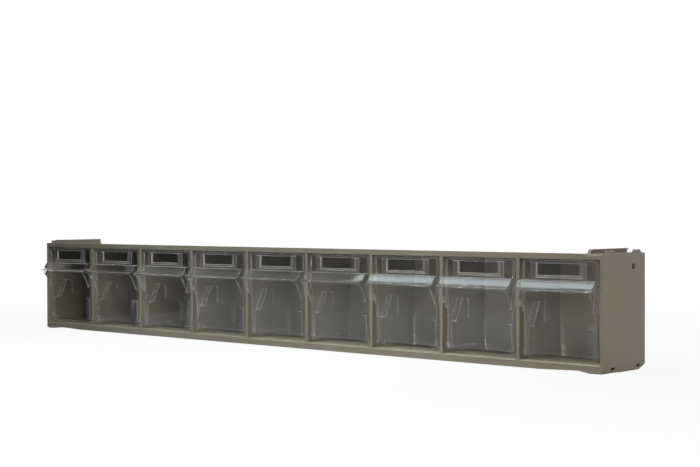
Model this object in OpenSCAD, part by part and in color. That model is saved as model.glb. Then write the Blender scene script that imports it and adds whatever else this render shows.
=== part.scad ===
// Wall-hung row of clear tip-out parts bins in an opaque housing
// X runs along the row, the bin fronts face -Y and Z is up, in millimetres.
// The origin is the middle of the footprint, at the underside of the feet.

/* [Housing] */
// Number of bins in the row
bin_count = 9; // [3:1:12]
// Clear width of one compartment
comp_w = 63.7; // [56:0.1:90]
// Thickness of the walls between compartments
divider_t = 2.7; // [2.4:0.1:6]
// Height of the housing, without feet and rails
body_h = 78.3; // [74:0.1:120]
// Depth of the housing, front plane to back face
body_d = 53; // [48:0.5:90]
// Thickness of the top wall
top_t = 4; // [3.4:0.1:6]
// Drop of the top face behind its front rim
top_drop = 1.8; // [1.2:0.1:2.2]
// Depth of the front rim of the top face
top_rim_d = 3; // [2:0.5:6]
// Thickness of the floor
floor_t = 5.5; // [4.6:0.1:7]
// Chamfer along the front of the compartment floors
sill_c = 0.9; // [0.4:0.1:1.2]
// Height of the relief under both ends of the housing
relief_h = 1; // [0.5:0.1:1.4]
// Length of that relief
relief_len = 48; // [30:1:60]
// Thickness of the back wall
back_t = 2.5; // [1.5:0.1:4]
// Radius of the long lower back edge
back_edge_r = 9; // [6:0.5:12]
// Radius of the wall screw holes
screw_r = 2.25; // [1.5:0.05:3]
// Height of the wall screw holes above the floor
screw_z = 52.5; // [46:0.5:58]
// Compartment, counted from each end, with a wall screw
screw_comp = 2; // [1:1:3]

/* [End caps] */
// Thickness of the end walls
end_t = 2.55; // [2.4:0.05:6]
// Reach of the top flange over the housing
cap_reach = 10.5; // [9:0.5:14]
// Chamfer along the front of the top flange
flange_c = 1; // [0.4:0.1:1.2]
// Height of the stacking rails
rail_h = 2.9; // [2:0.1:4]
// Thickness of the head of a stacking rail
rail_head = 1; // [0.6:0.1:1.4]
// Width of the head of a stacking rail
rail_w = 3.2; // [2.6:0.1:5]
// Undercut below the outer side of a rail head
rail_undercut = 1; // [0.5:0.1:1.4]
// Run-up at the front of a stacking rail
rail_lead = 2; // [1:0.1:4]
// Distance of the left rail from the front
rail_left_front = 0.5; // [0.5:0.5:8]
// Distance of the left rail from the back
rail_left_back = 0.5; // [0.5:0.5:8]
// Distance of the right rail from the front
rail_right_front = 1.5; // [0.5:0.5:8]
// Distance of the right rail from the back
rail_right_back = 5; // [0.5:0.5:8]
// Height of the stacking tabs on the end walls
tab_h = 2.2; // [1:0.1:2.8]
// Side margin of the stacking tabs on the end walls
tab_margin = 0.5; // [0.2:0.1:0.8]
// Distance of the front stacking tab behind the front plane
front_tab_d = 5; // [4:0.5:8]
// Length of the front stacking tab
front_tab_len = 10.5; // [8:0.5:16]
// Distance of the rear stacking tab in front of the back face
rear_tab_inset = 3.5; // [1:0.5:6]
// Length of the rear stacking tab
rear_tab_len = 11; // [9:0.5:16]
// Run of its sloping ends
rear_tab_run = 2; // [1:0.5:4]
// Height of the feet
foot_h = 0.4; // [0.3:0.1:2]
// Reach of the feet under the housing
foot_reach = 16.5; // [12:0.5:24]
// Length of the level part of a foot under the housing
foot_flat = 8; // [4:0.5:11]
// Rise of the lower edge of an end wall at its front
toe_h = 0.8; // [0:0.1:1.2]
// Length of that rise
toe_len = 22; // [10:1:30]
// Height of the cut lower back corner of an end wall
heel_h = 3.2; // [1:0.1:6]
// Length of that corner
heel_d = 8.5; // [6:0.5:12]
// Distance of the front slot in an end wall from the front
slot_front = 12; // [8:0.5:15]
// Distance of the rear slot in an end wall from the back
slot_back = 8.5; // [8:0.5:12]
// Width of those slots
slot_w = 5; // [3:0.5:6]
// Height of those slots
slot_h = 1.8; // [1:0.1:2.5]
// Height of those slots above the underside of the housing
slot_z = 1.4; // [1.2:0.1:2]
// Radius of the joining hole in each end wall
join_r = 2.1; // [1:0.05:2.5]
// Distance of the joining hole in front of the back face
join_inset = 15; // [8:0.5:20]
// Distance of the joining hole below the housing top
join_drop = 9; // [6.5:0.5:20]
// Radius of the pegs that key a cap into the floor
peg_r = 1.2; // [0.8:0.05:1.3]
// Length of those pegs
peg_len = 5; // [3:0.5:8]
// Distance of the pegs from the front plane and the back face
peg_inset = 20; // [18:0.5:22]
// Radial clearance of the pegs
peg_play = 0.05; // [0.02:0.01:0.1]

/* [Cups] */
// Wall thickness of a cup
cup_t = 1.5; // [1:0.1:2]
// Gap from a cup to the compartment walls
cup_gap = 4; // [3.5:0.1:6]
// Gap from a cup to the back wall
cup_back_gap = 8.5; // [5:0.5:10]
// Corner radius of a cup
cup_r = 6.5; // [4:0.5:8]
// Height of the cup rim above the housing floor
rim_z = 22.8; // [20:0.2:26]
// Gap below the front of a cup
cup_lift = 2.8; // [2.4:0.1:4]
// Rise of the cup floor to the back
cup_rise = 1.5; // [0:0.1:3]
// Width of the two heels that a closed bin sits back on
heel_w = 2; // [1:0.1:4]
// Length of those heels
heel_len = 7; // [4:0.5:10]
// Distance of the heels from the middle of the bin
heel_x = 15; // [8:0.5:18]

/* [Front panels] */
// Thickness of a front panel
panel_t = 1.8; // [1.2:0.1:2.4]
// Setback of the panel behind the front plane
panel_recess = 1; // [0.8:0.1:2]
// Gap from the panel to the compartment walls
panel_gap = 1.6; // [1.5:0.1:2.5]
// Gap above the panel
panel_top_gap = 0.9; // [0.5:0.1:2]
// Corner radius of the panel
panel_r = 2; // [1:0.1:4]
// Overhang of the lower panel past the cup walls
panel_ear = 0.5; // [0:0.1:1]
// Height of the panel's shoulders above the housing floor
shoulder_z = 31.5; // [28:0.5:34]
// Width of the bead round the panel
bead_w = 1.8; // [1:0.1:2.5]
// Inner corner radius of the bead
bead_r = 0.4; // [0.2:0.1:1]
// Height of the bead off the panel
bead_h = 0.5; // [0.2:0.1:0.7]

/* [Finger lip] */
// Distance of the lip root below the panel top
lip_drop = 13.3; // [11:0.1:16]
// Reach of the level top of the lip in front of the housing
lip_flat = 3.3; // [2:0.1:4]
// Reach of the sloping part in front of the housing
lip_slope_out = 6.5; // [5.5:0.1:8]
// Fall of the sloping part
lip_fall = 4.7; // [4:0.1:6]
// Depth of the rim in front of the slope
lip_rim_d = 4; // [3:0.1:5]
// Fall of the rim
lip_rim_fall = 1.4; // [0.5:0.1:2]
// Thickness of the lip
lip_t = 1.4; // [1.2:0.1:1.8]
// Height of the turned-down front edge of the lip
lip_edge_h = 2.4; // [2.2:0.1:3]
// Thickness of that edge
lip_edge_t = 1.2; // [1:0.1:1.6]
// Radius of the front corners of the lip
lip_corner_r = 0.8; // [0.4:0.1:2]
// Thickness of the side wings
wing_t = 1.6; // [1:0.1:2.4]
// Radius of the hollow edge of the wings
wing_r = 30; // [26:0.5:34]
// Height of the centre of that edge above the cup rim
wing_rise = 2.5; // [1:0.1:3]
// Least depth of the wings in front of the panel
wing_root_t = 0.5; // [0.3:0.1:1]
// Angle at which the wings lean in towards the cup
wing_lean = 4.6; // [0:0.1:6]

/* [Label pocket] */
// Outer width of a label pocket
pocket_w = 44; // [24:0.5:48]
// Width of its upright bars
pocket_bar = 5.2; // [3:0.1:6]
// Width of its lower bar
pocket_low_bar = 2.6; // [2.2:0.1:3.4]
// Height of its bars off the panel
pocket_h = 1.6; // [1.2:0.1:2]
// Card slot behind its bars
card_t = 0.6; // [0.4:0.05:0.7]
// Depth of the card slot into the bars
card_grip = 1.6; // [0.6:0.1:1.8]
// Gap from the lip root to the pocket
pocket_lift = 0.6; // [0.3:0.1:3]

/* [Tilt] */
// Angle to which a bin tips out
tip_angle = 26; // [15:0.5:30]
// Distance of the pivot behind the front plane
pivot_d = 6; // [5:0.1:7]
// Height of the pivot above the housing floor
pivot_z = 6; // [5.6:0.1:8]
// Radius of the trunnions
pin_r = 1.8; // [1.4:0.05:2.2]
// Length of a trunnion inside its socket
pin_in = 0.7; // [0.5:0.05:0.8]
// Radial clearance of a trunnion in its socket
pin_play = 0.08; // [0.03:0.01:0.1]
// Radius of the boss behind a trunnion
boss_r = 2.4; // [2.3:0.1:3]
// Depth of a socket
socket_d = 0.9; // [0.85:0.05:1]
// Depth of the lead-in groove
groove_d = 0.4; // [0.2:0.05:0.6]
// Reach of the stop nubs into a compartment
nub_out = 1.2; // [0.8:0.1:1.2]
// Depth of the stop nubs behind the front plane
nub_d = 1; // [0.8:0.1:2]
// Height of the stop nubs
nub_h = 4; // [3:0.5:8]
// Height of the stop nubs above the housing floor
nub_z = 35.5; // [28:0.5:36]
// Height of the stop ears above the cup rim
ear_h = 15.6; // [12:0.2:18]
// Width of a stop ear at its top
ear_w = 7; // [4:0.2:12]
// Radius of the upper back corner of an ear
ear_r = 2; // [1:0.1:3]
// Radius of the fillet behind an ear
ear_fillet = 4; // [2:0.5:6]
// Thickness of the stop flange on an ear
flange_t = 1.4; // [1:0.1:2]
// Gap from the stop flange to the compartment walls
flange_gap = 0.5; // [0.3:0.05:0.5]
// Working clearance between parts that meet
clear = 0.3; // [0.2:0.05:0.5]

/* [Hidden] */
$fn = 48;
over = 1;
sides = [-1, 1];
taupe = [0.47, 0.45, 0.38];
clear_plastic = [0.80, 0.85, 0.88, 0.45];

// Overall sizes
pitch = comp_w + divider_t;
core_w = bin_count * pitch - divider_t;
lip_out = lip_slope_out + lip_rim_d;
front_y = -(body_d - lip_out) / 2;

// Heights above the underside of the housing
ceiling_h = body_h - top_t;
pivot_h = floor_t + pivot_z;
panel_top = ceiling_h - panel_top_gap;
panel_low = floor_t + cup_lift;
rim_h = floor_t + rim_z;
ear_top = rim_h + ear_h;
wing_centre = rim_h + wing_rise;
lip_root = panel_top - lip_drop;
lip_mid = lip_root - lip_fall;
lip_low = lip_mid - lip_rim_fall;
lip_under = lip_low - lip_edge_h;
pocket_low = lip_root + pocket_lift;
pocket_top = panel_top - bead_w;

// Half widths of a bin, from the middle of its compartment
comp_half = comp_w / 2;
panel_half = comp_half - panel_gap;
cup_half = comp_half - cup_gap;
low_half = cup_half + panel_ear;
shoulder_low = floor_t + shoulder_z;
shoulder_top = shoulder_low + panel_half - low_half;
flange_half = comp_half - flange_gap;
boss_half = comp_half - 2 * clear;
pin_half = comp_half + pin_in;

// Distances behind the front plane
back_inside = body_d - back_t;
panel_back = panel_recess + panel_t;
cup_back = back_inside - cup_back_gap;
peg_depths = [peg_inset, body_d - peg_inset];

// Front face of the leaning stop ear, which stands upright behind the nubs when the bin is tipped
stop_arm = pivot_d - nub_d - clear;
function lean_y(z) = pivot_d - stop_arm * cos(tip_angle)
    + (z - pivot_h - stop_arm * sin(tip_angle)) * tan(tip_angle);
ear_front = lean_y(ear_top);
ear_back = ear_front + ear_w;

// Upper line of the finger lip, from its level top over the slope to the rim, as depth and height
lip_line = [[-lip_flat, lip_root], [-lip_slope_out, lip_mid], [-lip_out, lip_low]];

// The same line moved inwards by a share of the lip's thickness
function lip_inside(share) = [for (p = lip_line) p + share * [lip_edge_t, -lip_t]];

// Reversed list of points
function reversed(points) = [for (k = [len(points) - 1 : -1 : 0]) points[k]];

// Place of a compartment along the row, counted from the left
function comp_x(i) = (i - (bin_count + 1) / 2) * pitch;

// Divider faces inside the housing, as compartment number and side of the compartment
divider_faces = [
    for (i = [1 : bin_count], s = sides)
        if (i + s >= 1 && i + s <= bin_count) [i, s]
];

// Shared shapes

module placed() {
    translate([0, front_y, foot_h]) children();
}

// Extrude a side view, drawn as depth and height, between two stations along the row
module between_x(x0, x1) {
    translate([x0, 0, 0]) rotate([90, 0, 90]) linear_extrude(x1 - x0) children();
}

// Extrude a front view backwards from a depth
module plate(depth, thickness) {
    translate([0, depth + thickness, 0]) rotate([90, 0, 0]) linear_extrude(thickness) children();
}

module x_cylinder(x0, x1, r) {
    translate([x0, 0, 0]) rotate([0, 90, 0]) cylinder(x1 - x0, r = r);
}

// What a rounding takes off the lower back corner of a side view
module lower_back_cut(r) {
    difference() {
        translate([-r, -over]) square([r + over, r + over]);
        translate([-r, r]) circle(r);
    }
}

// Upright rectangle with rounded upper corners
module round_top(half, low, high, r) {
    translate([-half, low]) square([2 * half, high - low - r]);
    translate([r - half, low]) square([2 * (half - r), high - low]);
    for (s = sides) translate([s * (half - r), high - r]) circle(r);
}

// Rounded rectangle seen from above, between two depths
module round_plan(half, front, back, r) {
    translate([-half, front + r]) square([2 * half, back - front - 2 * r]);
    translate([r - half, front]) square([2 * (half - r), back - front]);
    for (s = sides, y = [front + r, back - r]) translate([s * (half - r), y]) circle(r);
}

// Blind socket with a lead-in groove for a trunnion, in a wall face at x = 0
module pivot_socket(side) {
    r = pin_r + pin_play;
    translate([0, pivot_d, pivot_h]) mirror([side < 0 ? 1 : 0, 0, 0]) {
        x_cylinder(-over, socket_d, r);
        translate([-over, -pivot_d - over, -r]) cube([over + groove_d, pivot_d + over, 2 * r]);
    }
}

// Wedge-fronted nub on a wall face at x = 0, which stops a tipped bin
module stop_nub(side) {
    translate([0, 0, floor_t + nub_z]) mirror([side < 0 ? 0 : 1, 0, 0]) linear_extrude(nub_h)
        polygon([[-over, 0], [0, 0], [nub_out, nub_d / 2], [nub_out, nub_d], [-over, nub_d]]);
}

// Housing

module housing_view() {
    difference() {
        square([body_d, body_h]);
        translate([body_d, 0]) lower_back_cut(back_edge_r);
        translate([top_rim_d, body_h - top_drop]) square([body_d, top_drop + over]);
    }
}

module compartment_view() {
    difference() {
        translate([-over, floor_t]) square([back_inside + over, ceiling_h - floor_t]);
        translate([back_inside, floor_t]) lower_back_cut(back_edge_r - back_t);
    }
    polygon([[-over, floor_t - sill_c - over], [sill_c + over, floor_t + over], [-over, floor_t + over]]);
}

// The first and last compartments run out through the ends, where the caps close them
module compartments() {
    for (i = [1 : bin_count]) {
        left = comp_x(i) - comp_half - (i == 1 ? over : 0);
        right = comp_x(i) + comp_half + (i == bin_count ? over : 0);
        between_x(left, right) compartment_view();
    }
}

module at_face(face) {
    translate([comp_x(face[0]) + face[1] * comp_half, 0, 0]) children();
}

module screw_holes() {
    for (s = sides) translate([s * comp_x(screw_comp), back_inside - over, floor_t + screw_z])
        rotate([-90, 0, 0]) cylinder(back_t + 2 * over, r = screw_r);
}

// Seat of the right end cap: a gap in the top rim, a relief above the foot, and holes for the pegs
module cap_seat() {
    translate([core_w / 2 - cap_reach, -over, body_h - top_drop])
        cube([cap_reach + over, body_d + 2 * over, top_drop + over]);
    translate([core_w / 2, 0, 0]) plate(-over, body_d + 2 * over) polygon([
        [-relief_len, 0], [-foot_reach, relief_h], [over, relief_h], [over, -over], [-relief_len, -over]
    ]);
    for (y = peg_depths) translate([core_w / 2, y, floor_t / 2])
        x_cylinder(-peg_len - clear, over, peg_r + peg_play);
}

module housing() {
    color(taupe) placed() {
        difference() {
            between_x(-core_w / 2, core_w / 2) housing_view();
            compartments();
            screw_holes();
            for (face = divider_faces) at_face(face) pivot_socket(face[1]);
            cap_seat();
            mirror([1, 0, 0]) cap_seat();
        }
        for (face = divider_faces) at_face(face) stop_nub(face[1]);
    }
}

// End caps

module end_wall_view() {
    difference() {
        polygon([
            [0, body_h],
            [0, toe_h - foot_h],
            [toe_len, -foot_h],
            [body_d - heel_d, -foot_h],
            [body_d, heel_h - foot_h],
            [body_d, body_h]
        ]);
        for (y = [slot_front, body_d - slot_back])
            translate([y - slot_w / 2, slot_z]) square([slot_w, slot_h]);
    }
}

// Stacking tabs on top of an end wall: a square one in front and a sloping one behind
module tab_view() {
    rear = body_d - rear_tab_inset;
    translate([front_tab_d, body_h - over]) square([front_tab_len, tab_h + over]);
    polygon([
        [rear - rear_tab_len, body_h - over],
        [rear - rear_tab_len, body_h],
        [rear - rear_tab_len + rear_tab_run, body_h + tab_h],
        [rear - rear_tab_run, body_h + tab_h],
        [rear, body_h],
        [rear, body_h - over]
    ]);
}

// Flange that fills the recess in the top face
module top_flange() {
    between_x(-cap_reach, over) polygon([
        [0, body_h - top_drop],
        [0, body_h - flange_c],
        [flange_c, body_h],
        [body_d, body_h],
        [body_d, body_h - top_drop]
    ]);
}

// Rail with an undercut head along the inner edge of the top flange
module stacking_rail(from_front, from_back) {
    rail_back = body_d - from_back;
    rail_top = body_h + rail_h;
    intersection() {
        translate([-cap_reach, 0, 0]) plate(from_front, rail_back - from_front) {
            translate([0, body_h - over]) square([rail_w - rail_undercut, rail_h + over]);
            translate([0, rail_top - rail_head]) square([rail_w, rail_head]);
        }
        between_x(-cap_reach, over) polygon([
            [from_front, body_h - over],
            [from_front, body_h],
            [from_front + rail_lead, rail_top],
            [rail_back, rail_top],
            [rail_back, body_h - over]
        ]);
    }
}

// Foot with a ramp, from the front to the rounded back edge
module foot() {
    plate(0, body_d - back_edge_r) polygon([
        [-foot_reach, relief_h], [over, relief_h], [over, -foot_h], [-foot_flat, -foot_h]
    ]);
}

// Right end cap with its inner face at x = 0
module end_cap(rail_front, rail_back) {
    difference() {
        union() {
            between_x(0, end_t) end_wall_view();
            between_x(tab_margin, end_t - tab_margin) tab_view();
            top_flange();
            stacking_rail(rail_front, rail_back);
            foot();
            for (y = peg_depths) translate([0, y, floor_t / 2]) x_cylinder(-peg_len, over, peg_r);
            stop_nub(1);
        }
        translate([0, body_d - join_inset, body_h - join_drop]) x_cylinder(-over, end_t + over, join_r);
        pivot_socket(1);
    }
}

module end_cap_right() {
    color(taupe) placed() translate([core_w / 2, 0, 0]) end_cap(rail_right_front, rail_right_back);
}

module end_cap_left() {
    color(taupe) placed() mirror([1, 0, 0]) translate([core_w / 2, 0, 0])
        end_cap(rail_left_front, rail_left_back);
}

// Bins

function cup_floor(y) = panel_low + cup_t + cup_rise * (y - panel_recess) / (cup_back - panel_recess);

// Side view of a cup: sloping underside, low rim, and the leaning stop ears behind the panel
module cup_view() {
    difference() {
        polygon([
            [panel_recess, panel_low],
            [cup_back, panel_low + cup_rise],
            [cup_back, rim_h],
            [ear_back, rim_h],
            [ear_back, ear_top],
            [ear_front, ear_top],
            [lean_y(rim_h), rim_h],
            [panel_recess, rim_h]
        ]);
        translate([ear_back, ear_top]) mirror([0, 1]) lower_back_cut(ear_r);
    }
    translate([ear_back, rim_h]) difference() {
        translate([-over, -over]) square(ear_fillet + over);
        translate([ear_fillet, ear_fillet]) circle(ear_fillet);
    }
}

module cup_void_view() {
    polygon([
        [0, cup_floor(0)],
        [cup_back, cup_floor(cup_back)],
        [cup_back, ear_top + over],
        [0, ear_top + over]
    ]);
}

module cup() {
    tall = ear_top + 2 * over;
    difference() {
        intersection() {
            linear_extrude(tall) round_plan(cup_half, panel_recess, cup_back, cup_r);
            between_x(-comp_half, comp_half) cup_view();
        }
        intersection() {
            linear_extrude(tall) round_plan(cup_half - cup_t, panel_back, cup_back - cup_t, cup_r - cup_t);
            between_x(-comp_half, comp_half) cup_void_view();
        }
    }
}

// Heels under the back of the cup, just clear of the housing floor when the bin is closed
module heels() {
    low = floor_t + clear;
    for (s = sides) translate([s * heel_x - heel_w / 2, cup_back - cup_r - heel_len, low])
        cube([heel_w, heel_len, panel_low + cup_t - low]);
}

// Panel that is narrower below its shoulders, with a bead round the part above the lip
module front_panel() {
    plate(panel_recess, panel_t) {
        round_top(panel_half, shoulder_top, panel_top, panel_r);
        polygon([
            [-low_half, panel_low],
            [low_half, panel_low],
            [low_half, shoulder_low],
            [panel_half, shoulder_top],
            [panel_half, shoulder_top + over],
            [-panel_half, shoulder_top + over],
            [-panel_half, shoulder_top],
            [-low_half, shoulder_low]
        ]);
    }
    plate(panel_recess - bead_h, bead_h + over) difference() {
        round_top(panel_half, lip_root, panel_top, panel_r);
        round_top(panel_half - bead_w, lip_root - over, panel_top - bead_w, bead_r);
    }
}

// Finger lip: a level top, a slope, a gently falling rim and a turned-down front edge
module lip_view() {
    root = panel_recess + over;
    polygon(concat(
        [[root, lip_root]],
        lip_line,
        [[-lip_out, lip_under], [lip_edge_t - lip_out, lip_under]],
        reversed(lip_inside(1)),
        [[root, lip_root - lip_t]]
    ));
}

// Hollow-edged wing that closes one end of the finger lip, buried in the lip by half its thickness
module wing_view() {
    root = panel_recess + over;
    difference() {
        polygon(concat(
            [[root, shoulder_top], [root, lip_root - lip_t / 2]],
            lip_inside(0.5),
            [[lip_edge_t / 2 - lip_out, shoulder_top]]
        ));
        translate([panel_recess - wing_root_t - wing_r, wing_centre]) circle(wing_r);
    }
}

// Right wing, which leans in towards the cup below the top of the lip
module wing() {
    translate([panel_half, 0, lip_root]) rotate([0, wing_lean, 0]) translate([-wing_t, 0, -lip_root])
        between_x(0, wing_t) wing_view();
}

module lip_and_wings() {
    intersection() {
        union() {
            between_x(-panel_half, panel_half) lip_view();
            wing();
            mirror([1, 0, 0]) wing();
        }
        linear_extrude(body_h) round_plan(panel_half, -lip_out, back_inside, lip_corner_r);
    }
}

// U-shaped frame with a card slot behind its bars
module label_pocket() {
    half = pocket_w / 2;
    window = half - pocket_bar;
    difference() {
        plate(panel_recess - pocket_h, pocket_h + over) difference() {
            translate([-half, pocket_low]) square([pocket_w, pocket_top - pocket_low]);
            translate([-window, pocket_low + pocket_low_bar]) square([2 * window, pocket_top]);
        }
        plate(panel_recess - card_t, card_t)
            translate([-window - card_grip, pocket_low + pocket_low_bar - card_grip])
            square([2 * (window + card_grip), pocket_top - pocket_low - pocket_low_bar + card_grip]);
    }
}

// Boss and trunnion on the right side of a bin, and the flange of its stop ear
module tilt_fittings() {
    flange_y = flange_t / cos(tip_angle);
    translate([0, pivot_d, pivot_h]) {
        x_cylinder(cup_half - cup_t, boss_half, boss_r);
        x_cylinder(boss_half - over, pin_half, pin_r);
    }
    between_x(cup_half - cup_t, flange_half) polygon([
        [lean_y(rim_h), rim_h],
        [lean_y(rim_h) + flange_y, rim_h],
        [ear_front + flange_y, ear_top],
        [ear_front, ear_top]
    ]);
}

module bin(i) {
    color(clear_plastic) placed() translate([comp_x(i), 0, 0]) {
        cup();
        heels();
        front_panel();
        lip_and_wings();
        label_pocket();
        tilt_fittings();
        mirror([1, 0, 0]) tilt_fittings();
    }
}

housing();
end_cap_left();
end_cap_right();
for (i = [1 : bin_count]) bin(i);
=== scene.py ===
"""Looks for a wall-hung row of clear tip-out parts bins in a taupe housing."""
import math

import bpy
from mathutils import Matrix, Vector


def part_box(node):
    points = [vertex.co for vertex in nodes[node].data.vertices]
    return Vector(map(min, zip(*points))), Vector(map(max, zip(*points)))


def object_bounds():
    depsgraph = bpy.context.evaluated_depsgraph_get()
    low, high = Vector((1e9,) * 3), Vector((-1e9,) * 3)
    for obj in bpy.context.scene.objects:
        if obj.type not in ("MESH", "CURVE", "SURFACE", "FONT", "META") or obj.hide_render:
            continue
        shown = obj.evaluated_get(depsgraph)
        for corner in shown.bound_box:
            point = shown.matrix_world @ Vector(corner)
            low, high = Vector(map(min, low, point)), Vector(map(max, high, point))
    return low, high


MM = 0.001

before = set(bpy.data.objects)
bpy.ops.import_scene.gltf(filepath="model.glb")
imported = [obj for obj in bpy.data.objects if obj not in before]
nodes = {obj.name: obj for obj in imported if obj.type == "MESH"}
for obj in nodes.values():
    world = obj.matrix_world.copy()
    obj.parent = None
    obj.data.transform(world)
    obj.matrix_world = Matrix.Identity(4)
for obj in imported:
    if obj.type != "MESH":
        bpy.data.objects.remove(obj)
cad_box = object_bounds()
housing_low, housing_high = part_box("housing")

HOUSING_NODES = ["housing", "end_cap_left", "end_cap_right"]
BIN_NODES = [name for name in nodes if name.startswith("bin_")]

# Radius of the taupe plastic's moulded edges, and how far from the housing's ends it starts to grow
HOUSING_EDGE = 0.5 * MM
END_EDGE = 1.6 * MM
END_ZONE = 2.0 * MM
EDGE_SAMPLES = 8
# Such an edge gets a painted highlight, paler as its normal turns away from the face's own: cosines of the
# start and the end
EDGE_STARTS = 0.99
EDGE_FULL = 0.75

# Front of the bins' panels, heights of their foot, lip and label pocket, and a short fade at the pocket
PANEL_FRONT = housing_low.y + 1.0 * MM
PANEL_FOOT = housing_low.z + 10.0 * MM
LIP_UNDER = housing_low.z + 51.0 * MM
POCKET_FROM = 60.6 * MM
POCKET_FADE = 0.2 * MM

# Beads run along clear edges sharper than this, as far back as this
SHARP = math.radians(40)
BEAD_BACK = housing_low.y + 24.0 * MM
# Above the lip's underside they leave out edges whose normal points further left or down than this
LEFTMOST = -0.25
LOWEST = -0.3
# Below the panel's foot they leave out edges longer than this
FOOT_EDGE = 4.0 * MM
# Radius of a bead, which carries a painted highlight along a clear edge, and its shares above the lip's
# underside, at the panel's foot and between the two; a wider bead shows more painted highlight
BIN_EDGE = 0.18 * MM
LIP_SHARE = 1.6
FOOT_SHARE = 0.2
LEFT_SHARE = 1.4
RIGHT_SHARE = 0.5
# The shares change over these heights, and clear edges change from left to right between these places:
# their painted highlight is stronger at the left, where less light falls
FOOT_FADE = 4.0 * MM
LIP_FADE = 1.0 * MM
LEFT_FROM = -0.28
RIGHT_FROM = 0.05
# Sides of a bead, and the distance below which points are joined before the edges are picked
BEAD_SIDES = 6
WELD = 0.002 * MM

# Surface colours, linear
TAUPE = (0.203, 0.188, 0.138)
TAUPE_DARK = (0.188, 0.174, 0.127)
TAUPE_PALE = (0.217, 0.202, 0.150)
# Painted highlight on the taupe plastic's rounded edges
TAUPE_EDGE_HIGHLIGHT = (0.300, 0.279, 0.207)
CLEAR_TINT = (0.95, 0.95, 0.94)
CLEAR_PATH = (0.96, 0.96, 0.955)
# Colour of the painted highlight on the beads along the clear edges
MILKY_HIGHLIGHT = (0.6, 0.6, 0.575)
PALE_FLOOR = (0.46, 0.49, 0.51)

# Colours of the light, linear
WHITE = (1.0, 1.0, 1.0)
AMBIENT = (1.0, 0.97, 0.92)
COOL = (0.93, 0.985, 1.0)
BLUISH = (0.8, 0.94, 1.0)
WARM = (1.0, 0.88, 0.82)
SANDY = (1.0, 0.86, 0.7)
AMBER = (1.0, 0.68, 0.52)

# How wide a lamp throws its light
WIDE = math.pi
NARROW = math.radians(50)

# Tone of the dark cards, and how much the mottle changes a card's tone
DARK = 0.03
MOTTLE = 0.1
# Level and depth of the flags under the overhead box
FLAG_LEVEL = 0.3
FLAG_NEAR = -0.23
FLAG_FAR = 0.02
# Distance of two cards from the object, and the reach and half length of the one along the front's foot, a
# painted shadow in the mirrored floor
CARD_GAP = 4.0 * MM
FOOT_REACH = 60.0 * MM
FOOT_HALF = 0.4
# Height of the lying cards over the object's lowest point, and of that point over the floor
CARD_LIFT = 0.4 * MM
FLOOR_DROP = 0.2 * MM
FLOOR_SIZE = 16.0

# The photograph's view, measured from the middle of the housing's lower front edge
LENS_PX = 1429.3
IMAGE_W = 700
SENSOR_W = 36.0
NEAREST = 0.01
CAMERA_FROM_FRONT = Vector((798.0, -801.8, 105.3)) * MM
CAMERA_YAW = math.radians(41.887)
CAMERA_PITCH = math.radians(0.815)
CAMERA_ROLL = math.radians(-0.125)


def colour(rgb):
    """The colour with an alpha of one."""
    return (*rgb, 1.0)


class Nodes:
    """A node tree that starts empty."""

    def __init__(self, tree):
        tree.nodes.clear()
        self.tree = tree

    def put(self, value, socket):
        """Link an output to an input, or set the input to a value."""
        if isinstance(value, bpy.types.NodeSocket):
            self.tree.links.new(value, socket)
        else:
            socket.default_value = value

    def add(self, kind, **values):
        """A new node; each value goes to the property or the input of that name."""
        node = self.tree.nodes.new(kind)
        for key, value in values.items():
            if hasattr(node, key):
                setattr(node, key, value)
            else:
                self.put(value, node.inputs[key.replace("_", " ")])
        return node

    def worked(self, kind, operation, terms):
        """A node that works on the given terms, in their order."""
        node = self.add(kind, operation=operation)
        for term, socket in zip(terms, node.inputs):
            self.put(term, socket)
        return node

    def maths(self, operation, *terms):
        """The outcome of an operation on numbers."""
        return self.worked("ShaderNodeMath", operation, terms).outputs["Value"]

    def vectors(self, operation, *terms):
        """The number that an operation on vectors gives."""
        return self.worked("ShaderNodeVectorMath", operation, terms).outputs["Value"]

    def logic(self, operation, *terms):
        """The outcome of an operation on truths."""
        return self.worked("FunctionNodeBooleanMath", operation, terms).outputs[0]

    def compared(self, value, operation, limit):
        """Whether a number is above or below a limit."""
        return self.add("FunctionNodeCompare", operation=operation, A=value, B=limit).outputs[0]

    def ranged(self, value, start, end, low=0.0, high=1.0):
        """A number mapped from start and end to low and high, and held between them."""
        ends = {"From_Min": start, "From_Max": end, "To_Min": low, "To_Max": high}
        return self.add("ShaderNodeMapRange", Value=value, **ends).outputs["Result"]

    def axes(self, vector):
        """The three parts of a vector, by name."""
        return self.add("ShaderNodeSeparateXYZ", Vector=vector).outputs

    def noise(self, place, **values):
        """A random pattern from 0 to 1."""
        return self.add("ShaderNodeTexNoise", Vector=place, **values).outputs["Fac"]

    def ramp(self, value, *stops):
        """A colour between stops, each a place from 0 to 1 and its colour."""
        node = self.add("ShaderNodeValToRGB", Fac=value)
        elements = node.color_ramp.elements
        for element, (place, rgb) in zip(elements, (stops[0], stops[-1])):
            element.position = place
            element.color = colour(rgb)
        for place, rgb in stops[1:-1]:
            elements.new(place).color = colour(rgb)
        return node.outputs["Color"]

    def mixed(self, share, first, second):
        """Two shaders mixed by the second one's share."""
        node = self.add("ShaderNodeMixShader", Fac=share)
        self.put(first.outputs[0], node.inputs[1])
        self.put(second.outputs[0], node.inputs[2])
        return node

    def place(self, kind):
        """Where a point is, in one kind of coordinates."""
        return self.add("ShaderNodeTexCoord").outputs[kind]

    def rays(self):
        """What kind of ray meets the surface, by name."""
        return self.add("ShaderNodeLightPath").outputs


def new_material(name):
    """A new material, and its empty tree."""
    material = bpy.data.materials.new(name)
    material.use_nodes = True
    return material, Nodes(material.node_tree)


def glassy(tree, rays):
    """One for rays that were mirrored or came through clear plastic."""
    return tree.maths("MAXIMUM", rays["Is Glossy Ray"], rays["Is Transmission Ray"])


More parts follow.
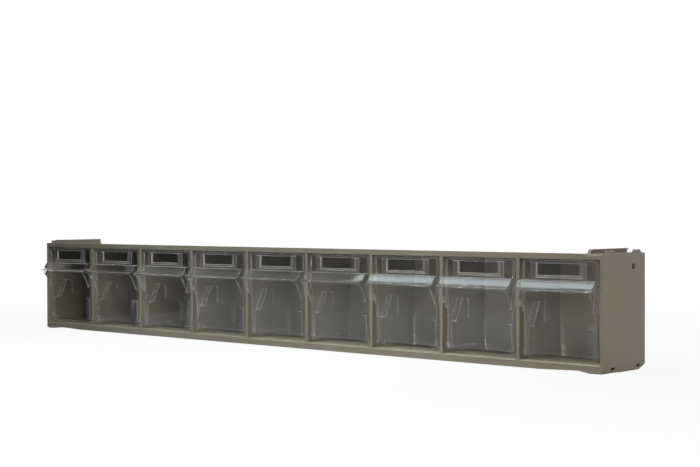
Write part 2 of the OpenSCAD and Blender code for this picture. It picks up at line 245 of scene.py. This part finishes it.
def rounded_edges(tree, place):
    """Normals that round the moulded edges, and how far a point is on such an edge, which sets its painted
    highlight.
    """
    aside = tree.maths("ABSOLUTE", tree.axes(place)["X"])
    end = housing_high.x
    radius = tree.ranged(aside, end - END_ZONE, end, HOUSING_EDGE, END_EDGE)
    rounded = tree.add("ShaderNodeBevel", samples=EDGE_SAMPLES, Radius=radius).outputs["Normal"]
    flat = tree.add("ShaderNodeNewGeometry").outputs["True Normal"]
    turn = tree.vectors("DOT_PRODUCT", rounded, flat)
    return rounded, tree.ranged(turn, EDGE_STARTS, EDGE_FULL)


def housing_plastic():
    """Satin moulded plastic with a fine spark-eroded texture, a faint mottle and a painted highlight that
    makes the edges paler.
    """
    material, tree = new_material("housing_plastic")
    place = tree.place("Object")
    mottle = tree.noise(place, Scale=24.0, Detail=5.0, Roughness=0.6)
    grain = tree.noise(place, Scale=2600.0, Detail=2.0)
    tones = tree.ramp(mottle, (0.3, TAUPE_DARK), (0.5, TAUPE), (0.72, TAUPE_PALE))
    rounded, edge = rounded_edges(tree, place)
    # Painted highlight: the rounded edges are mixed towards a paler taupe
    paler = tree.add("ShaderNodeMix", data_type="RGBA", Factor=edge, A=tones, B=colour(TAUPE_EDGE_HIGHLIGHT))
    bump = tree.add("ShaderNodeBump", Strength=0.12, Distance=0.2 * MM, Height=grain, Normal=rounded)
    shader = tree.add(
        "ShaderNodeBsdfPrincipled",
        Base_Color=paler.outputs["Result"],
        Roughness=tree.ranged(mottle, start=0.3, end=0.7, low=0.36, high=0.46),
        Normal=bump.outputs["Normal"],
    )
    tree.add("ShaderNodeOutputMaterial", Surface=shader.outputs["BSDF"])
    return material


def let_lamps_through(tree, shader):
    """Mix a shader with an open path for lamp light, and put it on the material's output."""
    open_path = tree.add("ShaderNodeBsdfTransparent", Color=colour(CLEAR_PATH))
    mix = tree.mixed(tree.rays()["Is Shadow Ray"], shader, open_path)
    tree.add("ShaderNodeOutputMaterial", Surface=mix.outputs["Shader"])


def clear_plastic():
    """Clear moulding with faint haze and handling marks; the label pocket is a little milky."""
    material, tree = new_material("bin_clear")
    place = tree.place("Object")
    parts = tree.axes(place)
    haze = tree.noise(place, Scale=55.0, Detail=5.0, Roughness=0.65)
    above = tree.ranged(parts["Z"], POCKET_FROM - POCKET_FADE, POCKET_FROM + POCKET_FADE)
    ahead = tree.ranged(parts["Y"], PANEL_FRONT - POCKET_FADE, PANEL_FRONT - 2 * POCKET_FADE)
    pocket = tree.maths("MULTIPLY", above, ahead)
    shader = tree.add(
        "ShaderNodeBsdfPrincipled",
        IOR=1.04,
        Base_Color=colour(CLEAR_TINT),
        Roughness=tree.ranged(haze, start=0.35, end=0.7, low=0.02, high=0.12),
        Transmission_Weight=tree.ranged(pocket, start=0.0, end=1.0, low=1.0, high=0.955),
        Coat_Weight=1.0,
        Coat_Roughness=0.03,
    )
    let_lamps_through(tree, shader)
    return material


def clear_edge_highlights():
    """Painted highlight on the edges of the clear mouldings, where light gathers: paler than the faces,
    and milkier to the left, where less light falls.
    """
    material, tree = new_material("bin_edge_highlights")
    place = tree.place("Object")
    haze = tree.noise(place, Scale=90.0, Detail=3.0, Roughness=0.6)
    # Painted highlight: the edges are less clear, so paler, to the left, where less light falls
    along = tree.ranged(tree.axes(place)["X"], LEFT_FROM, RIGHT_FROM, low=0.28, high=0.66)
    shader = tree.add(
        "ShaderNodeBsdfPrincipled",
        IOR=1.2,
        Base_Color=colour(MILKY_HIGHLIGHT),
        Roughness=tree.ranged(haze, start=0.35, end=0.7, low=0.15, high=0.3),
        Transmission_Weight=tree.ranged(haze, start=0.3, end=0.7, low=along, high=0.8),
    )
    let_lamps_through(tree, shader)
    return material


def beaded_edges(tree, parts):
    """Which edges carry a bead."""
    angle = tree.add("GeometryNodeInputMeshEdgeAngle").outputs["Unsigned Angle"]
    sharp = tree.compared(angle, "GREATER_THAN", SHARP)
    ahead = tree.compared(parts["Y"], "LESS_THAN", BEAD_BACK)
    facing = tree.axes(tree.add("GeometryNodeInputNormal").outputs["Normal"])
    rightward = tree.compared(facing["X"], "GREATER_THAN", LEFTMOST)
    upward = tree.compared(facing["Z"], "GREATER_THAN", LOWEST)
    under = tree.compared(parts["Z"], "LESS_THAN", LIP_UNDER)
    shown = tree.logic("OR", tree.logic("AND", rightward, upward), under)
    ends = tree.add("GeometryNodeInputMeshEdgeVertices").outputs
    span = tree.vectors("DISTANCE", ends["Position 1"], ends["Position 2"])
    long = tree.compared(span, "GREATER_THAN", FOOT_EDGE)
    low = tree.compared(parts["Z"], "LESS_THAN", PANEL_FOOT)
    at_front = tree.logic("AND", sharp, tree.logic("AND", ahead, shown))
    return tree.logic("NIMPLY", at_front, tree.logic("AND", long, low))


def bead_share(tree, parts):
    """The bead's radius as a share of BIN_EDGE: small at the foot, large above the lip's underside."""
    panel = tree.ranged(parts["X"], LEFT_FROM, RIGHT_FROM, LEFT_SHARE, RIGHT_SHARE)
    lower = tree.ranged(parts["Z"], PANEL_FOOT, PANEL_FOOT + FOOT_FADE, FOOT_SHARE, panel)
    return tree.ranged(parts["Z"], LIP_UNDER - LIP_FADE, LIP_UNDER, lower, LIP_SHARE)


def edge_highlight_beads(finish):
    """Modifier tree: a thin bead of painted highlight along the sharp edges at the front of a clear
    moulding.
    """
    group = bpy.data.node_groups.new("edge_highlight_beads", "GeometryNodeTree")
    for way in ("INPUT", "OUTPUT"):
        group.interface.new_socket("Geometry", in_out=way, socket_type="NodeSocketGeometry")
    tree = Nodes(group)
    source = tree.add("NodeGroupInput").outputs[0]
    parts = tree.axes(tree.add("GeometryNodeInputPosition").outputs["Position"])
    joined = tree.add("GeometryNodeMergeByDistance", Geometry=source, Distance=WELD).outputs[0]
    line = tree.add("GeometryNodeMeshToCurve", Mesh=joined, Selection=beaded_edges(tree, parts)).outputs[0]
    sized = tree.add("GeometryNodeSetCurveRadius", Curve=line, Radius=bead_share(tree, parts)).outputs[0]
    ring = tree.add("GeometryNodeCurvePrimitiveCircle", Resolution=BEAD_SIDES, Radius=BIN_EDGE).outputs[0]
    bead = tree.add("GeometryNodeCurveToMesh", Curve=sized, Profile_Curve=ring, Fill_Caps=True).outputs[0]
    painted = tree.add("GeometryNodeSetMaterial", Geometry=bead, Material=finish).outputs[0]
    both = tree.add("GeometryNodeJoinGeometry")
    for mesh in (source, painted):
        tree.put(mesh, both.inputs["Geometry"])
    tree.add("NodeGroupOutput", Geometry=both.outputs[0])
    return group


def dress(name, finish, beads=None):
    """Give a CAD node its finish, and a clear one the beads of painted highlight along its edges."""
    piece = nodes[name]
    piece.data.materials.clear()
    piece.data.materials.append(finish)
    if beads:
        piece.modifiers.new("edge_highlight_beads", "NODES").node_group = beads


def camera():
    """The photograph's viewpoint."""
    front = Vector((0, housing_low.y, housing_low.z))
    right = Vector((math.cos(CAMERA_YAW), math.sin(CAMERA_YAW), 0))
    ahead = Vector((
        -math.sin(CAMERA_YAW) * math.cos(CAMERA_PITCH),
        math.cos(CAMERA_YAW) * math.cos(CAMERA_PITCH),
        -math.sin(CAMERA_PITCH),
    ))
    up = right.cross(ahead)
    across = right * math.cos(CAMERA_ROLL) + up * math.sin(CAMERA_ROLL)
    upright = up * math.cos(CAMERA_ROLL) - right * math.sin(CAMERA_ROLL)
    turn = Matrix((across, upright, -ahead)).transposed().to_4x4()
    data = bpy.data.cameras.new("camera")
    data.sensor_width = SENSOR_W
    data.lens = SENSOR_W * LENS_PX / IMAGE_W
    data.clip_start = NEAREST
    view = bpy.data.objects.new("camera", data)
    view.matrix_world = Matrix.Translation(front + CAMERA_FROM_FRONT) @ turn
    bpy.context.scene.collection.objects.link(view)
    bpy.context.scene.camera = view


def surround():
    """White to the camera; mirrored, white low at the back, dimmer above and darkest low in front."""
    world = bpy.data.worlds.new("studio")
    bpy.context.scene.world = world
    world.use_nodes = True
    tree = Nodes(world.node_tree)
    parts = tree.axes(tree.place("Generated"))
    front = tree.ranged(parts["Z"], start=0.1, end=0.4, low=0.12, high=0.5)
    back = tree.ranged(parts["Z"], start=0.3, end=0.6, low=1.0, high=0.6)
    around = tree.ranged(parts["Y"], start=0.1, end=0.4, low=front, high=back)
    white = tree.add("ShaderNodeBackground", Color=colour(WHITE), Strength=1.0)
    room = tree.add("ShaderNodeBackground", Color=colour(WHITE), Strength=around)
    ambient = tree.add("ShaderNodeBackground", Color=colour(AMBIENT), Strength=0.35)
    rays = tree.rays()
    reflected = tree.mixed(glassy(tree, rays), ambient, room)
    seen = tree.mixed(rays["Is Camera Ray"], reflected, white)
    tree.add("ShaderNodeOutputWorld", Surface=seen.outputs["Shader"])


def soft_box(name, place, target, size, radiance, tint=WHITE, spread=WIDE, mirrored=True):
    """A rectangular studio light of a given surface brightness, facing a point."""
    data = bpy.data.lights.new(name, "AREA")
    data.shape = "RECTANGLE"
    data.size, data.size_y = size
    data.energy = math.pi * size[0] * size[1] * radiance
    data.color = tint
    data.spread = spread
    lamp = bpy.data.objects.new(name, data)
    lamp.location = place
    lamp.rotation_euler = (Vector(target) - Vector(place)).to_track_quat("-Z", "Y").to_euler()
    lamp.visible_camera = False
    lamp.visible_glossy = mirrored
    bpy.context.scene.collection.objects.link(lamp)


def lights():
    """A box above the front, bluish ones at the left, warm ones at the right, and two unmirrored fills."""
    soft_box(
        "overhead_box", place=(0.06, -0.3, 0.75), target=(0.06, -0.3, 0.0),
        size=(0.46, 0.5), radiance=9.1, tint=COOL,
    )
    soft_box(
        "lip_box", place=(-0.938, -0.7, 1.45), target=(0.0, 0.0, 0.05),
        size=(0.396, 0.6), radiance=3.55, tint=BLUISH,
    )
    soft_box(
        "rim_box", place=(-0.85, 1.0, 1.0), target=(0.2, 0.0, 0.05),
        size=(0.55, 0.3), radiance=1.8, tint=BLUISH,
    )
    soft_box(
        "side_strip", place=(1.35, -0.95, 0.9), target=(0.2, 0.0, 0.05),
        size=(0.3, 0.6), radiance=11.3, tint=WARM,
    )
    soft_box(
        "end_box", place=(1.3, 0.45, 0.3), target=(0.3, 0.0, 0.04),
        size=(0.4, 0.5), radiance=2.6, tint=AMBER,
    )
    soft_box(
        "back_fill", place=(-0.7, 1.2, 0.8), target=(0.0, 0.0, 0.05),
        size=(1.0, 0.8), radiance=2.2, mirrored=False,
    )
    soft_box(
        "inner_fill", place=(0.45, -0.8, 0.12), target=(0.27, 0.0, 0.06),
        size=(0.2, 0.2), radiance=0.7, tint=SANDY, spread=NARROW, mirrored=False,
    )


def card_paper(name, tone):
    """Matt grey paper with a faint mottle."""
    material, tree = new_material(name)
    mottle = tree.noise(tree.place("Object"), Scale=6.0, Detail=3.0)
    darker = (tone * (1 - MOTTLE),) * 3
    paler = (tone * (1 + MOTTLE),) * 3
    tones = tree.ramp(mottle, (0.0, darker), (1.0, paler))
    shader = tree.add("ShaderNodeBsdfDiffuse", Color=tones)
    tree.add("ShaderNodeOutputMaterial", Surface=shader.outputs["BSDF"])
    return material


def card(name, corners, tone, blocks=False):
    """A flat studio card, hidden from the camera; only one that blocks holds light off the object."""
    mesh = bpy.data.meshes.new(name)
    mesh.from_pydata(corners, [], [(0, 1, 2, 3)])
    flat = bpy.data.objects.new(name, mesh)
    flat.visible_camera = False
    flat.visible_diffuse = blocks
    flat.visible_shadow = blocks
    bpy.context.scene.collection.objects.link(flat)
    mesh.materials.append(card_paper(name, tone))
    return flat


def upright_card(name, start, end, height, tone, blocks=False):
    """A card standing on the floor between two places seen from above."""
    low = cad_box[0][2]
    corners = [(*start, low), (*end, low), (*end, low + height), (*start, low + height)]
    card(name, corners, tone, blocks)


def lying_card(name, outline, level, tone, blocks=False):
    """A card lying at a level, with an outline seen from above."""
    return card(name, [(*corner, level) for corner in outline], tone, blocks)


def rectangle(left, right, near, far):
    """The outline of a rectangle seen from above."""
    return [(left, near), (right, near), (right, far), (left, far)]


def flag(name, left, right):
    """A dark card under the overhead box that shades one end of the row and isn't mirrored."""
    outline = rectangle(left, right, FLAG_NEAR, FLAG_FAR)
    piece = lying_card(name, outline, FLAG_LEVEL, DARK, blocks=True)
    piece.visible_glossy = False
    piece.visible_transmission = False


def cards():
    """Cards at the left end and its hole, far in front and on the floor, and flags over the row's ends;
    the cards at the hole and on the floor paint shade into what is mirrored or seen through the clear
    plastic.
    """
    left, front, low = cad_box[0]
    beside = left - CARD_GAP
    level = low + CARD_LIFT
    foot = rectangle(-FOOT_HALF, FOOT_HALF, front - CARD_GAP, front - FOOT_REACH)
    streak = [(0.3, -0.1), (0.17, -0.1), (-0.42, -0.95), (-0.15, -0.95)]
    upright_card(
        "dark_card", start=(-0.372, -0.06), end=(-0.372, -0.265),
        height=0.2, tone=DARK, blocks=True,
    )
    upright_card(
        "grey_card", start=(-0.37, -0.14), end=(-0.37, -0.265),
        height=0.042, tone=0.25, blocks=True,
    )
    upright_card("pale_card", start=(-1.05, -0.9), end=(-0.6, -0.9), height=0.3, tone=0.25)
    # Painted shade: a dark card, seen only through the clear plastic and in reflections, keeps the left
    # end's hole dark
    upright_card("hole_shade_card", start=(beside, -0.02), end=(beside, 0.03), height=0.08, tone=0.05)
    # Painted shadow: a darker strip of floor along the front's foot, seen only in reflections and through
    # the clear plastic
    lying_card("foot_shadow_card", foot, level, tone=0.4)
    # Painted shade: a grey streak on the floor, seen only in reflections and through the clear plastic,
    # darkens the floor mirrored in the right bins' panels
    lying_card("floor_shade_card", streak, level, tone=0.33)
    flag("left_flag", left=-0.6, right=-0.15)
    flag("right_flag", left=0.21, right=0.6)


def floor():
    """A wide pale floor that keeps the object's shadow and is white beyond it."""
    bpy.ops.mesh.primitive_plane_add(size=FLOOR_SIZE, location=(0, 0, cad_box[0][2] - FLOOR_DROP))
    ground = bpy.context.object
    ground.name = "floor"
    material, tree = new_material("floor")
    place = tree.place("Object")
    away = tree.ranged(tree.vectors("LENGTH", place), start=0.3, end=1.1, low=0.9, high=1.0)
    behind = tree.ranged(tree.axes(place)["Y"], start=-0.1, end=0.1)
    rays = tree.rays()
    mirrored = tree.maths("MULTIPLY", glassy(tree, rays), behind)
    seen = tree.maths("MAXIMUM", rays["Is Camera Ray"], mirrored)
    lit = tree.add("ShaderNodeBsdfDiffuse", Color=colour(PALE_FLOOR))
    white = tree.add("ShaderNodeEmission", Color=colour(WHITE), Strength=1.02)
    mix = tree.mixed(tree.maths("MULTIPLY", seen, away), lit, white)
    tree.add("ShaderNodeOutputMaterial", Surface=mix.outputs["Shader"])
    ground.data.materials.append(material)


housing_finish = housing_plastic()
for part in HOUSING_NODES:
    dress(part, housing_finish)
bin_finish = clear_plastic()
bin_highlight_beads = edge_highlight_beads(clear_edge_highlights())
for part in BIN_NODES:
    dress(part, bin_finish, bin_highlight_beads)

camera()
surround()
lights()
cards()
floor()
bpy.context.scene.view_settings.view_transform = "Standard"
